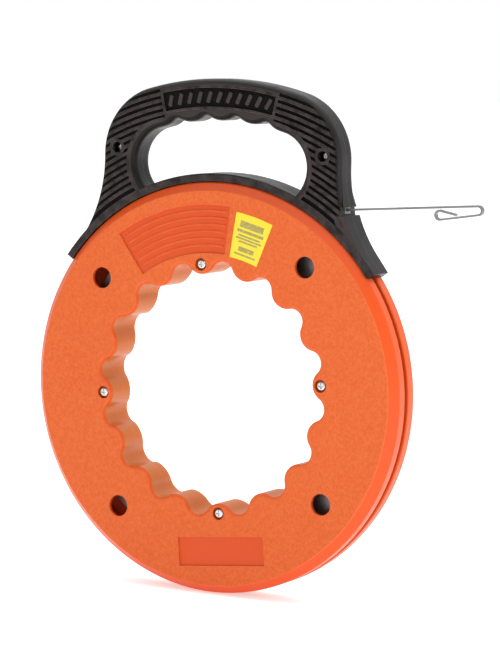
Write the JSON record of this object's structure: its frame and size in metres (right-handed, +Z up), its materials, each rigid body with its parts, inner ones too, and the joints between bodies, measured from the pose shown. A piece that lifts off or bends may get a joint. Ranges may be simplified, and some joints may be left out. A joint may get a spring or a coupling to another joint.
{
  "type": "fish tape reel",
  "caption": "Hand-held reel for a flat steel fish tape: a round case with a scalloped hand hole turns in the shoe of a ribbed grip handle, and the hooked tape leaves through the leg.",
  "frame": {"origin": "middle of the hand grip, halfway through its height and thickness, straight above the reel's axis", "axes": "+Z up from the reel's axis through the grip, +X to the right towards the tape's exit, -Y towards the user who faces the labelled side; the reel turns about Y"},
  "size_m": [0.3605, 0.0362, 0.3801],
  "materials": {
    "case_orange": "fine moulded texture",
    "handle_black": "satin moulded, nearly black",
    "tape_steel": "bare spring steel",
    "screw_steel": "bright zinc plate",
    "insert_brass": "turned",
    "label_yellow": "printed film",
    "runner_nylon": "natural nylon",
    "dark_steel": "hardened, dark"
  },
  "bodies": {
    "handle": {"handle_front": "handle_black", "handle_rear": "handle_black", "handle_screws": "screw_steel", "handle_nuts": "screw_steel", "runner_left": "runner_nylon", "runner_right": "runner_nylon", "runner_pins": "dark_steel", "tape_guide": "runner_nylon", "exit_eyelet": "dark_steel"},
    "case": {"front_case": "case_orange", "rear_case": "case_orange", "case_screws": "screw_steel", "case_inserts": "insert_brass", "label": "label_yellow", "tape_coil": "tape_steel", "tape_end_clip": "dark_steel", "clip_rivet": "dark_steel", "anchor_washer": "screw_steel", "anchor_screw": "screw_steel"},
    "tape": {"tape_leader": "tape_steel"}
  },
  "joints": [
    {"name": "reel_spin", "type": "hinge", "parent": "handle", "child": "case", "pos_m": [0, 0, -0.21235], "axis": [0, 1, 0], "continuous": true},
    {"name": "tape_feed", "type": "slide", "parent": "handle", "child": "tape", "axis": [0.9973, 0, 0.0732], "range_m": [-0.055, 0.085]}
  ]
}
